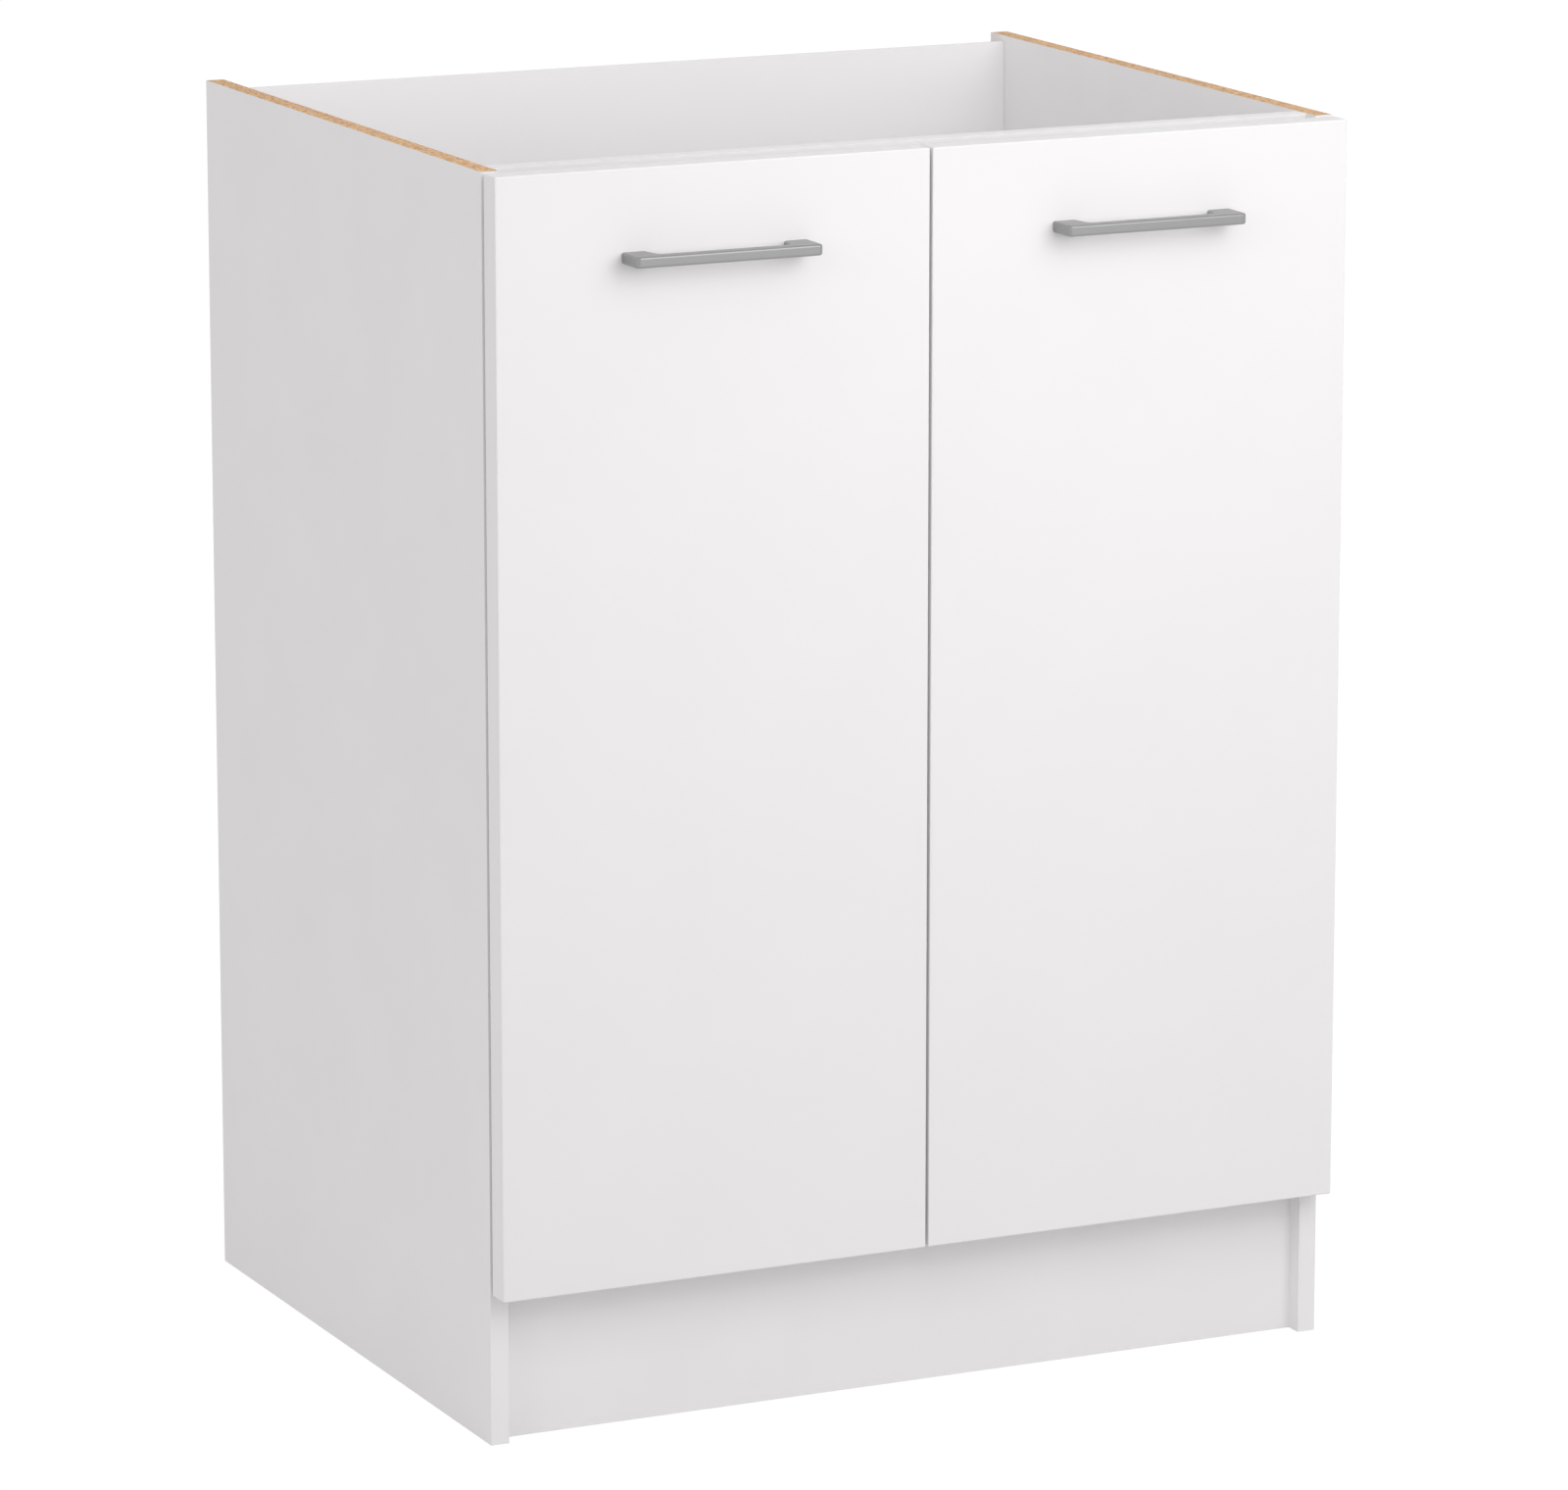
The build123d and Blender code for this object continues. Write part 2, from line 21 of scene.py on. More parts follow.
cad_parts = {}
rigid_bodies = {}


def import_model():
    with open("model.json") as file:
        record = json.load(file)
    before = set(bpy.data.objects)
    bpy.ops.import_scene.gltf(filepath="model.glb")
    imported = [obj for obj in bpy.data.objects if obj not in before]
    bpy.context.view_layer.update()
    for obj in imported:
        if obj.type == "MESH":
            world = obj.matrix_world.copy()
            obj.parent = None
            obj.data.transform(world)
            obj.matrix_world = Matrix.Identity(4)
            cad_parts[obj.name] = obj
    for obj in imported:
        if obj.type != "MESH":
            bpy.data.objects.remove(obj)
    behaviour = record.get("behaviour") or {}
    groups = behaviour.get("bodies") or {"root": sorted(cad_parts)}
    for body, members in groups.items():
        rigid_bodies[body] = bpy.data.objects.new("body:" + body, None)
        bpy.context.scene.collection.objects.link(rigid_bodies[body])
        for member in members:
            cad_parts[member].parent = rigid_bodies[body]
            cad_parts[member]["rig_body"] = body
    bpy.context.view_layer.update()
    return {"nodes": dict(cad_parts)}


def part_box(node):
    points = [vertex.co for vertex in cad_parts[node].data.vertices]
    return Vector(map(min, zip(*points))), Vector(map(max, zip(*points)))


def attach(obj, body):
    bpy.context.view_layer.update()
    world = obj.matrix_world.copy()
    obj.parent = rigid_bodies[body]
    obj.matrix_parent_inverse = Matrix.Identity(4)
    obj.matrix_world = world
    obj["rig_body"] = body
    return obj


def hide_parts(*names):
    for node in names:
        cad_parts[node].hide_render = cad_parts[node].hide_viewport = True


LOG = logging.getLogger("base_cabinet")
MM = 0.001
SIDES = ("left", "right")
LEVELS = ("upper", "lower")


class Slot(Enum):
    """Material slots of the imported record."""

    BOARD = "white_melamine_board"
    DOOR = "white_door_board"
    BACK = "white_hardboard"
    HANDLE = "satin_handle_metal"
    NICKEL = "nickel_plated_steel"
    STEEL = "zinc_plated_steel"
    ZINC = "die_cast_zinc"
    BEECH = "beech"
    BUMPER = "clear_bumper"


class Axis(Enum):
    """Axes of the row frame, numbered as a vector's parts."""

    X = 0
    Y = 1
    Z = 2


def linear(hex_colour: str) -> tuple[float, float, float, float]:
    """Turns an sRGB hex colour into linear light.

    Args:
        hex_colour: six hex digits after a hash sign.

    Returns:
        Red, green, blue and an alpha of 1.
    """
    shares = [int(hex_colour[i : i + 2], 16) / 255 for i in (1, 3, 5)]
    red, green, blue = (s / 12.92 if s <= 0.04045 else ((s + 0.055) / 1.055) ** 2.4 for s in shares)
    return red, green, blue, 1.0


def add_node(
    tree: bpy.types.NodeTree,
    kind: str,
    settings: dict[str, Any] | None = None,
    inputs: dict[str | int, Any] | None = None,
) -> bpy.types.Node:
    """Adds a node with its settings and links.

    Args:
        tree: the node tree that takes the node.
        kind: Blender's name for the type of node.
        settings: attributes of the node.
        inputs: a value or an output socket for each named or numbered input.

    Returns:
        The new node.
    """
    node = tree.nodes.new(kind)
    for name, value in (settings or {}).items():
        setattr(node, name, value)
    for key, value in (inputs or {}).items():
        if isinstance(value, bpy.types.NodeSocket):
            tree.links.new(value, node.inputs[key])
        else:
            node.inputs[key].default_value = value
    return node


def grain_scale(size_mm: float) -> float:
    """A texture's scale for features of a real size.

    Args:
        size_mm: the size of a feature in millimetres.

    Returns:
        Features to a metre.
    """
    return 1.0 / (size_mm * MM)


@dataclass(frozen=True)
class Finish:
    """One real material: its slot in the record and the surface that its maker gave it."""

    name: str
    slot: Slot
    colour: str
    roughness: float

    def material(self) -> bpy.types.Material:
        """Makes the Blender material.

        Returns:
            A material whose principled shader this finish has dressed.
        """
        material = bpy.data.materials.new(self.name)
        material.use_nodes = True
        tree = material.node_tree
        tree.nodes.clear()
        shader = add_node(
            tree,
            "ShaderNodeBsdfPrincipled",
            inputs={"Base Color": linear(self.colour), "Roughness": self.roughness},
        )
        add_node(tree, "ShaderNodeOutputMaterial", inputs={"Surface": shader.outputs["BSDF"]})
        place = add_node(tree, "ShaderNodeTexCoord").outputs["Object"]
        self.dress(tree, shader, place)
        return material

    def dress(self, tree: bpy.types.NodeTree, shader: bpy.types.Node, place: bpy.types.NodeSocket) -> None:
        """Adds this finish's own pattern.

        Args:
            tree: the material's node tree.
            shader: its principled shader.
            place: object coordinates, in metres.
        """
        raise NotImplementedError


@dataclass(frozen=True)
class CutBoard(Finish):
    """Chipboard pressed between melamine papers and banded on some edges.

    The papers give an even satin white with a fine pebble. Where a saw or drill went through, the eye
    meets tan chips, long in the plane of the board and thin across it.
    """

    # The board's corners in metres, the axis across its faces and the axes across its banded edges
    low: Vector = field(default_factory=Vector)
    high: Vector = field(default_factory=Vector)
    faced: Axis = Axis.X
    banded: tuple[Axis, ...] = ()
    # Thickness of the papers and of the bands
    facing: float = 0.25
    band: float = 0.9
    # The print drifts to a second white in wide clouds
    shade: str = "#F1EFF0"
    cloud: float = 70.0
    # A real pebble is finer, and is drawn as coarse as it needs to show
    pebble: float = 0.9
    pebble_height: float = 0.006
    chip_length: float = 3.6
    chip_thick: float = 1.1
    chip_height: float = 0.18
    chip_roughness: float = 0.85
    chip_tones: tuple[str, str, str] = ("#BB9268", "#DDB186", "#F2C898")
    chip_middle: float = 0.4

    def core_mask(self, tree: bpy.types.NodeTree, place: bpy.types.NodeSocket) -> bpy.types.NodeSocket:
        """Marks the space inside the facings and bands, which shows only where the board was cut.

        Args:
            tree: the material's node tree.
            place: object coordinates.

        Returns:
            A value of 1 in the core and 0 in the facings and bands.
        """
        parts = add_node(tree, "ShaderNodeSeparateXYZ", inputs={0: place})
        skins = {self.faced: self.facing} | {axis: self.band for axis in self.banded}
        mask = None
        for axis, skin in skins.items():
            low, high = self.low[axis.value], self.high[axis.value]
            inside = add_node(
                tree,
                "ShaderNodeMath",
                {"operation": "COMPARE"},
                {0: parts.outputs[axis.value], 1: (low + high) / 2, 2: (high - low) / 2 - skin * MM},
            ).outputs[0]
            if mask is not None:
                inside = add_node(
                    tree, "ShaderNodeMath", {"operation": "MULTIPLY"}, {0: mask, 1: inside}
                ).outputs[0]
            mask = inside
        return mask

    def dress(self, tree: bpy.types.NodeTree, shader: bpy.types.Node, place: bpy.types.NodeSocket) -> None:
        """Adds the faced and the cut surface and chooses between them.

        Args:
            tree: the material's node tree.
            shader: its principled shader.
            place: object coordinates, in metres.
        """
        mask = self.core_mask(tree, place)
        stretch = [grain_scale(self.chip_length)] * 3
        stretch[self.faced.value] = grain_scale(self.chip_thick)
        chips_at = add_node(tree, "ShaderNodeMapping", inputs={0: place, "Scale": stretch}).outputs[0]
        chips = add_node(
            tree, "ShaderNodeTexVoronoi", {"feature": "F1"}, {"Vector": chips_at, "Scale": 1.0}
        )
        tone = add_node(tree, "ShaderNodeSeparateColor", inputs={0: chips.outputs["Color"]}).outputs[0]
        chip_ramp = add_node(tree, "ShaderNodeValToRGB", inputs={0: tone})
        tones = chip_ramp.color_ramp.elements
        tones.new(self.chip_middle)
        for element, shade in zip(tones, self.chip_tones):
            element.color = linear(shade)
        cloud = add_node(
            tree,
            "ShaderNodeTexNoise",
            inputs={"Vector": place, "Scale": grain_scale(self.cloud), "Detail": 2.0},
        ).outputs[0]
        paper = add_node(
            tree,
            "ShaderNodeMix",
            {"data_type": "RGBA"},
            {0: cloud, 6: linear(self.colour), 7: linear(self.shade)},
        ).outputs[2]
        colour = add_node(
            tree, "ShaderNodeMix", {"data_type": "RGBA"}, {0: mask, 6: paper, 7: chip_ramp.outputs[0]}
        ).outputs[2]
        tree.links.new(colour, shader.inputs["Base Color"])
        rough = add_node(
            tree,
            "ShaderNodeMix",
            {"data_type": "FLOAT"},
            {0: mask, 2: self.roughness, 3: self.chip_roughness},
        ).outputs[0]
        tree.links.new(rough, shader.inputs["Roughness"])
        pebble = add_node(
            tree,
            "ShaderNodeTexNoise",
            inputs={"Vector": place, "Scale": grain_scale(self.pebble), "Detail": 1.0},
        ).outputs[0]
        height = add_node(
            tree,
            "ShaderNodeMix",
            {"data_type": "FLOAT"},
            {0: mask, 2: pebble, 3: chips.outputs["Distance"]},
        ).outputs[0]
        depth = add_node(
            tree,
            "ShaderNodeMix",
            {"data_type": "FLOAT"},
            {0: mask, 2: self.pebble_height * MM, 3: self.chip_height * MM},
        ).outputs[0]
        bump = add_node(tree, "ShaderNodeBump", inputs={"Height": height, "Distance": depth}).outputs[0]
        tree.links.new(bump, shader.inputs["Normal"])


@dataclass(frozen=True)
class LacqueredHardboard(Finish):
    """Hardboard with white lacquer on the face that looks into the cabinet and raw brown fibre behind."""

    # Where the lacquer ends, in metres
    raw_from_y: float = 0.0
    raw: str = "#B59268"
    raw_dark: str = "#93714A"
    fibre: float = 1.4
    fibre_height: float = 0.05
    raw_roughness: float = 0.8

    def dress(self, tree: bpy.types.NodeTree, shader: bpy.types.Node, place: bpy.types.NodeSocket) -> None:
        """Adds lacquer in front and fibre behind.

        Args:
            tree: the material's node tree.
            shader: its principled shader.
            place: object coordinates, in metres.
        """
        depth_at = add_node(tree, "ShaderNodeSeparateXYZ", inputs={0: place}).outputs[1]
        raw = add_node(
            tree, "ShaderNodeMath", {"operation": "GREATER_THAN"}, {0: depth_at, 1: self.raw_from_y}
        ).outputs[0]
        fibres = add_node(
            tree,
            "ShaderNodeTexNoise",
            inputs={"Vector": place, "Scale": grain_scale(self.fibre), "Detail": 4.0},
        ).outputs[0]
        brown = add_node(
            tree,
            "ShaderNodeMix",
            {"data_type": "RGBA"},
            {0: fibres, 6: linear(self.raw_dark), 7: linear(self.raw)},
        ).outputs[2]
        colour = add_node(
            tree, "ShaderNodeMix", {"data_type": "RGBA"}, {0: raw, 6: linear(self.colour), 7: brown}
        ).outputs[2]
        rough = add_node(
            tree,
            "ShaderNodeMix",
            {"data_type": "FLOAT"},
            {0: raw, 2: self.roughness, 3: self.raw_roughness},
        ).outputs[0]
        bump = add_node(
            tree,
            "ShaderNodeBump",
            inputs={"Strength": raw, "Height": fibres, "Distance": self.fibre_height * MM},
        ).outputs[0]
        tree.links.new(colour, shader.inputs["Base Color"])
        tree.links.new(rough, shader.inputs["Roughness"])
        tree.links.new(bump, shader.inputs["Normal"])


@dataclass(frozen=True)
class Metal(Finish):
    """A plated, cast or lacquered metal, with a grain that breaks up its reflections."""

    grain: float = 0.6
    grain_height: float = 0.01
    rough_spread: float = 0.08
    metallic: float = 1.0

    def dress(self, tree: bpy.types.NodeTree, shader: bpy.types.Node, place: bpy.types.NodeSocket) -> None:
        """Adds the grain to the roughness and the surface.

        Args:
            tree: the material's node tree.
            shader: its principled shader.
            place: object coordinates, in metres.
        """
        shader.inputs["Metallic"].default_value = self.metallic
        grain = add_node(
            tree,
            "ShaderNodeTexNoise",
            inputs={"Vector": place, "Scale": grain_scale(self.grain), "Detail": 3.0},
        ).outputs[0]
        rough = add_node(
            tree,
            "ShaderNodeMapRange",
            inputs={0: grain, 3: self.roughness - self.rough_spread, 4: self.roughness + self.rough_spread},
        ).outputs[0]
        bump = add_node(
            tree, "ShaderNodeBump", inputs={"Height": grain, "Distance": self.grain_height * MM}
        ).outputs[0]
        tree.links.new(rough, shader.inputs["Roughness"])
        tree.links.new(bump, shader.inputs["Normal"])


@dataclass(frozen=True)
class TurnedBeech(Finish):
    """Beech turned to a dowel: pinkish tan, with darker growth lines and short flecks along the grain."""

    line: float = 1.1
    run: float = 14.0
    dark: str = "#A97B4C"

    def dress(self, tree: bpy.types.NodeTree, shader: bpy.types.Node, place: bpy.types.NodeSocket) -> None:
        """Adds the growth lines along X.

        Args:
            tree: the material's node tree.
            shader: its principled shader.
            place: object coordinates, in metres.
        """
        scale = (grain_scale(self.run), grain_scale(self.line), grain_scale(self.line))
        at = add_node(tree, "ShaderNodeMapping", inputs={0: place, "Scale": scale}).outputs[0]
        lines = add_node(
            tree, "ShaderNodeTexNoise", inputs={"Vector": at, "Scale": 1.0, "Detail": 4.0}
        ).outputs[0]
        colour = add_node(
            tree,
            "ShaderNodeMix",
            {"data_type": "RGBA"},
            {0: lines, 6: linear(self.dark), 7: linear(self.colour)},
        ).outputs[2]
        tree.links.new(colour, shader.inputs["Base Color"])


@dataclass(frozen=True)
class ClearSoftPlastic(Finish):
    """Clear soft polyurethane, cast in drops: glossy, with a faint milky unevenness."""

    transmission: float = 0.85
    ior: float = 1.47
    milk: float = 1.5
    milky_share: float = 2.0

    def dress(self, tree: bpy.types.NodeTree, shader: bpy.types.Node, place: bpy.types.NodeSocket) -> None:
        """Lets light through and varies the gloss a little.

        Args:
            tree: the material's node tree.
            shader: its principled shader.
            place: object coordinates, in metres.
        """
        shader.inputs["Transmission Weight"].default_value = self.transmission
        shader.inputs["IOR"].default_value = self.ior
        milk = add_node(
            tree, "ShaderNodeTexNoise", inputs={"Vector": place, "Scale": grain_scale(self.milk)}
        ).outputs[0]
        rough = add_node(
            tree,
            "ShaderNodeMapRange",
            inputs={0: milk, 3: self.roughness, 4: self.milky_share * self.roughness},
        ).outputs[0]
        tree.links.new(rough, shader.inputs["Roughness"])


# Melamine paper on chipboard: an even, faintly cool white, too dull to mirror anything
BOARD_WHITE = "#F6F4F5"
BOARD_SATIN = 0.58
# Foil on the doors: nearly the same white, a little smoother, so a soft sheen spreads over the front
DOOR_WHITE = "#F4F2F3"
DOOR_SATIN = 0.52
DOOR_PEBBLE_HEIGHT = 0.004
# Lacquer rolled on hardboard: the brightest white, a thin skin with a satin gleam
LACQUER_WHITE = "#FBF9FA"
LACQUER_SATIN = 0.4
LACQUER_THICK = 0.2
# Nickel on pressed steel: bright and faintly warm, with a blurred highlight on every bend
NICKEL = Metal("bright nickel on pressed steel", Slot.NICKEL, "#CFCBC3", 0.24)
# Zinc plate on screws and bolts: a cooler grey with a softer shine
ZINC_PLATE = Metal("zinc plate on steel screws", Slot.STEEL, "#C3C6CA", 0.32, grain=0.4)
# Zinc from a mould: middle grey, nearly matt, with a fine grit
CAST_ZINC = Metal("cast zinc alloy", Slot.ZINC, "#B4B5B7", 0.46, grain=0.5, grain_height=0.03)
# Silver lacquer: half paint and half metal, an even grey that lights up along its rounded edges
HANDLE_SATIN = Metal(
    "satin silver lacquer on cast zinc",
    Slot.HANDLE,
    "#979797",
    0.36,
    grain=0.35,
    grain_height=0.004,
    metallic=0.55,
)
# Beech off the lathe: warm tan streaked along the dowel, without gloss
BEECH = TurnedBeech("turned beech", Slot.BEECH, "#D2A877", 0.6)
# Polyurethane cast in drops: clear and wet-looking, with the door's white showing through
CLEAR_DROP = ClearSoftPlastic("clear soft polyurethane", Slot.BUMPER, "#F2F5F5", 0.12)


@dataclass(frozen=True)
class SoftLamp:
    """A square softbox, placed and aimed in metres."""

    name: str
    place: tuple[float, float, float]
    aim: tuple[float, float, float]
    side: float
    watts: float

    def build(self) -> None:
        """Hangs the lamp where the camera doesn't see it."""
        data = bpy.data.lights.new(self.name, "AREA")
        data.shape = "SQUARE"
        data.size = self.side
        data.energy = self.watts
        lamp = bpy.data.objects.new(self.name, data)
        lamp.location = self.place
        lamp.rotation_euler = (Vector(self.aim) - Vector(self.place)).to_track_quat("-Z", "Y").to_euler()
        lamp.visible_camera = False
        bpy.context.scene.collection.objects.link(lamp)


@dataclass
class Studio:
    """Pale floor, white surroundings and three softboxes, in metres.

    One softbox hangs before the doors, one stands far to the left and one far in front on the right.
    """

    floor_radius: float = 30.0
    floor_corners: int = 64
    floor_colour: str = "#CECDCD"
    # The eye meets this share of white glow, and matt floor with the shadow for the rest
    floor_white: float = 0.8
    floor_glow: float = 1.16
    # Strength of the surroundings as a light, and to the eye
    sky: float = 0.89
    white: float = 1.0
    lamps: tuple[SoftLamp, ...] = (
        SoftLamp("door_softbox", (0.28, -1.15, 1.13), (0.05, -0.23, 0.67), 0.85, 4.5),
        SoftLamp("left_softbox", (-5.5, -2.0, 2.2), (0.0, 0.0, 0.45), 3.0, 40.0),
        SoftLamp("right_softbox", (1.5, -5.0, 2.4), (0.0, 0.0, 0.45), 2.5, 24.0),
    )

    def background_share(self, tree: bpy.types.NodeTree) -> bpy.types.NodeSocket:
        """Marks the rays that should meet a white background.

        Args:
            tree: the node tree of the floor or the world.

        Returns:
            1 for camera, glossy and transmission rays, 0 for the rest.
        """
        path = add_node(tree, "ShaderNodeLightPath")
        share = path.outputs["Is Camera Ray"]
        for name in ("Is Glossy Ray", "Is Transmission Ray"):
            share = add_node(
                tree, "ShaderNodeMath", {"operation": "MAXIMUM"}, {0: share, 1: path.outputs[name]}
            ).outputs[0]
        return share

    def build_floor(self) -> None:
        """Makes the floor, white to the eye but for the cabinet's shadow."""
        mesh = bpy.data.meshes.new("floor")
        bm = bmesh.new()
        bmesh.ops.create_circle(bm, cap_ends=True, segments=self.floor_corners, radius=self.floor_radius)
        bm.to_mesh(mesh)
        bm.free()
        floor = bpy.data.objects.new("floor", mesh)
        bpy.context.scene.collection.objects.link(floor)
        material = bpy.data.materials.new("pale studio floor")
        material.use_nodes = True
        tree = material.node_tree
        tree.nodes.clear()
        matt = add_node(
            tree, "ShaderNodeBsdfDiffuse", inputs={"Color": linear(self.floor_colour)}
        ).outputs[0]
        glow = add_node(tree, "ShaderNodeEmission", inputs={"Strength": self.floor_glow}).outputs[0]
        share = add_node(
            tree,
            "ShaderNodeMath",
            {"operation": "MULTIPLY"},
            {0: self.background_share(tree), 1: self.floor_white},
        ).outputs[0]
        mixed = add_node(tree, "ShaderNodeMixShader", inputs={0: share, 1: matt, 2: glow}).outputs[0]
        add_node(tree, "ShaderNodeOutputMaterial", inputs={"Surface": mixed})
        mesh.materials.append(material)

    def build_world(self) -> None:
        """Makes the surroundings: white to the eye, and an even soft light."""
        world = bpy.data.worlds.new("white surroundings")
        world.use_nodes = True
        tree = world.node_tree
        tree.nodes.clear()
        strength = add_node(
            tree,
            "ShaderNodeMix",
            {"data_type": "FLOAT"},
            {0: self.background_share(tree), 2: self.sky, 3: self.white},
        ).outputs[0]
        sky = add_node(tree, "ShaderNodeBackground", inputs={"Strength": strength}).outputs[0]
        add_node(tree, "ShaderNodeOutputWorld", inputs={"Surface": sky})
        bpy.context.scene.world = world

    def build(self) -> None:
        """Sets up the whole studio."""
        self.build_floor()
        self.build_world()
        for lamp in self.lamps:
            lamp.build()
        bpy.context.scene.view_settings.view_transform = "Standard"


@dataclass
class PhotoCamera:
    """The camera at the photograph's viewing angle, with angles in degrees."""

    frame_width_px: float = 1600.0
    focal_px: float = 8031.0
    sensor: float = 36.0
    place: tuple[float, float, float] = (-2188.1, -4641.6, 1525.5)
    yaw: float = 25.309
    pitch: float = -12.503
    sight: float = 100000.0

    def build(self) -> None:
        """Makes the camera and gives it to the scene."""
        data = bpy.data.cameras.new("photo_camera")
        data.sensor_width = self.sensor
        data.lens = self.focal_px / self.frame_width_px * self.sensor
        data.clip_end = self.sight * MM
        camera = bpy.data.objects.new("photo_camera", data)
        camera.location = Vector(self.place) * MM
        camera.rotation_euler = (math.radians(90 + self.pitch), 0, math.radians(-self.yaw))
        bpy.context.scene.collection.objects.link(camera)
        bpy.context.scene.camera = camera


Ring = tuple[float, float]
Corners = tuple[Vector, Vector]


def turn(bm: bmesh.types.BMesh, rim: list[bmesh.types.BMEdge], rings: list[Ring]) -> None:
    """Draws a round rim out along Z through wider and narrower rings, as on a lathe, and closes its end.

    Args:
        bm: the mesh that holds the rim.
        rim: a closed loop of edges round the Z axis.
        rings: the radius and the height of each ring, in millimetres.
    """
    for radius, height in rings:
        drawn = bmesh.ops.extrude_edge_only(bm, edges=rim)["geom"]
        corners = [part for part in drawn if isinstance(part, bmesh.types.BMVert)]
        for corner in corners:
            outward = Vector((corner.co.x, corner.co.y, 0)).normalized()
            corner.co = (outward * radius + Vector((0, 0, height))) * MM
        ends = set(corners)
        edges = [part for part in drawn if isinstance(part, bmesh.types.BMEdge)]
        rim = [edge for edge in edges if ends.issuperset(edge.verts)]
    bmesh.ops.contextual_create(bm, geom=rim)


def turned(start: Ring, rings: list[Ring], segments: int) -> bmesh.types.BMesh:
    """Turns a round piece that stands on a flat end.

    Args:
        start: the flat end's radius and height, in millimetres.
        rings: the rings that follow it.
        segments: corners to a ring.

    Returns:
        The piece's mesh, round the Z axis.
    """
    radius, height = start
    bm = bmesh.new()
    bmesh.ops.create_circle(
        bm,
        cap_ends=True,
        segments=segments,
        radius=radius * MM,
        matrix=Matrix.Translation((0, 0, height * MM)),
    )
    turn(bm, list(bm.edges), rings)
    bmesh.ops.recalc_face_normals(bm, faces=bm.faces)
    return bm


def thread(radius: float, depth: float, start: float, end: float, pitch: float) -> list[Ring]:
    """Rings of a screw thread, as ridges side by side.

    Args:
        radius: radius over the ridges, in millimetres.
        depth: depth of the grooves.
        start: height of the first ridge.
        end: height where the thread stops, above or below the start.
        pitch: from ridge to ridge.

    Returns:
        Ridges and grooves by turns.
    """
    count = int(abs(end - start) / pitch)
    step = (end - start) / max(count, 1)
    rings = []
    for i in range(count):
        rings.append((radius, start + i * step))
        rings.append((radius - depth, start + (i + 0.5) * step))
    return rings + [(radius, end)]


@dataclass(frozen=True)
class CrossScrew:
    """A pan-head screw with a cross recess, its seat at height 0 and its shank below."""

    head_height: float
    shank_radius: float
    pitch: float
    point: float = 0.0
    recess_width: float = 1.0
    recess_margin: float = 1.3
    recess_depth: float = 0.9
    recess_taper: float = 0.16
    # How far the top's middle rises, and how far in and how high the rounded rim's rings lie
    crown: float = 0.14
    shoulder: float = 0.75
    rim_inset: float = 0.28
    rim_rise: float = 0.72
    wall_rise: float = 0.4
    thread_depth: float = 0.3
    # The thread stops this far above the point, which narrows to these shares of the shank's radius
    thread_stop: float = 0.3
    point_start: float = 0.7
    point_end: float = 0.25
    # Cells to a side of the grid that the top is made from
    cells: int = 5

    def top(self, bm: bmesh.types.BMesh, head_radius: float) -> list[bmesh.types.BMEdge]:
        """Makes the crowned top with its recess.

        Args:
            bm: the mesh that takes it.
            head_radius: the head's radius, in millimetres.

        Returns:
            The top's round rim.
        """
        lines = (head_radius - self.shoulder, head_radius - self.recess_margin, self.recess_width / 2)
        half, cell_turn = self.cells / 2, 90 / self.cells
        bmesh.ops.create_grid(bm, x_segments=self.cells, y_segments=self.cells, size=half)
        cross = []
        for face in bm.faces:
            across, along = sorted(abs(round(part)) for part in face.calc_center_median().xy)
            if across == 0 and along <= 1:
                cross.append(face)
        for vert in bm.verts:
            steps = vert.co.copy()
            place = [math.copysign(lines[round(half - abs(part))], part) for part in steps.xy]
            if round(half - max(abs(part) for part in steps.xy)) == 0:
                slopes = [math.tan(math.radians(cell_turn * part)) for part in steps.xy]
                place = Vector(slopes).normalized() * lines[0]
            fall = self.crown * (Vector(place).length / lines[0]) ** 2
            vert.co = Vector((*place, self.head_height - fall)) * MM
        rim = [edge for edge in bm.edges if edge.is_boundary]
        bmesh.ops.recalc_face_normals(bm, faces=bm.faces)
        if bm.faces[0].normal.z < 0:
            bmesh.ops.reverse_faces(bm, faces=bm.faces)
        bmesh.ops.inset_region(
            bm,
            faces=cross,
            thickness=self.recess_taper * MM,
            depth=-self.recess_depth * MM,
            use_even_offset=True,
            use_boundary=True,
        )
        return rim

    def model(self, head_radius: float, shank_length: float) -> bmesh.types.BMesh:
        """Models one screw.

        Args:
            head_radius: the head's radius, in millimetres.
            shank_length: from the seat to the tip.

        Returns:
            The screw's mesh, along the Z axis.
        """
        bm = bmesh.new()
        rim = self.top(bm, head_radius)
        shank, tip = self.shank_radius, self.point - shank_length
        head = [
            (head_radius - self.rim_inset, self.rim_rise * self.head_height),
            (head_radius, self.wall_rise * self.head_height),
            (head_radius, 0.0),
            (shank, 0.0),
        ]
        ridges = thread(shank, self.thread_depth, -self.pitch, tip + self.thread_stop, self.pitch)
        point = [(self.point_start * shank, tip), (self.point_end * shank, -shank_length)]
        turn(bm, rim, head + ridges + point)
        bmesh.ops.recalc_face_normals(bm, faces=bm.faces)
        return bm


def facing(place: Vector, way: Vector) -> Matrix:
    """Puts a model's origin at a place and its Z axis along a way.

    Args:
        place: in metres.
        way: a direction.

    Returns:
        The matrix that moves the model there.
    """
    return Matrix.Translation(place) @ way.to_track_quat("Z", "Y").to_matrix().to_4x4()


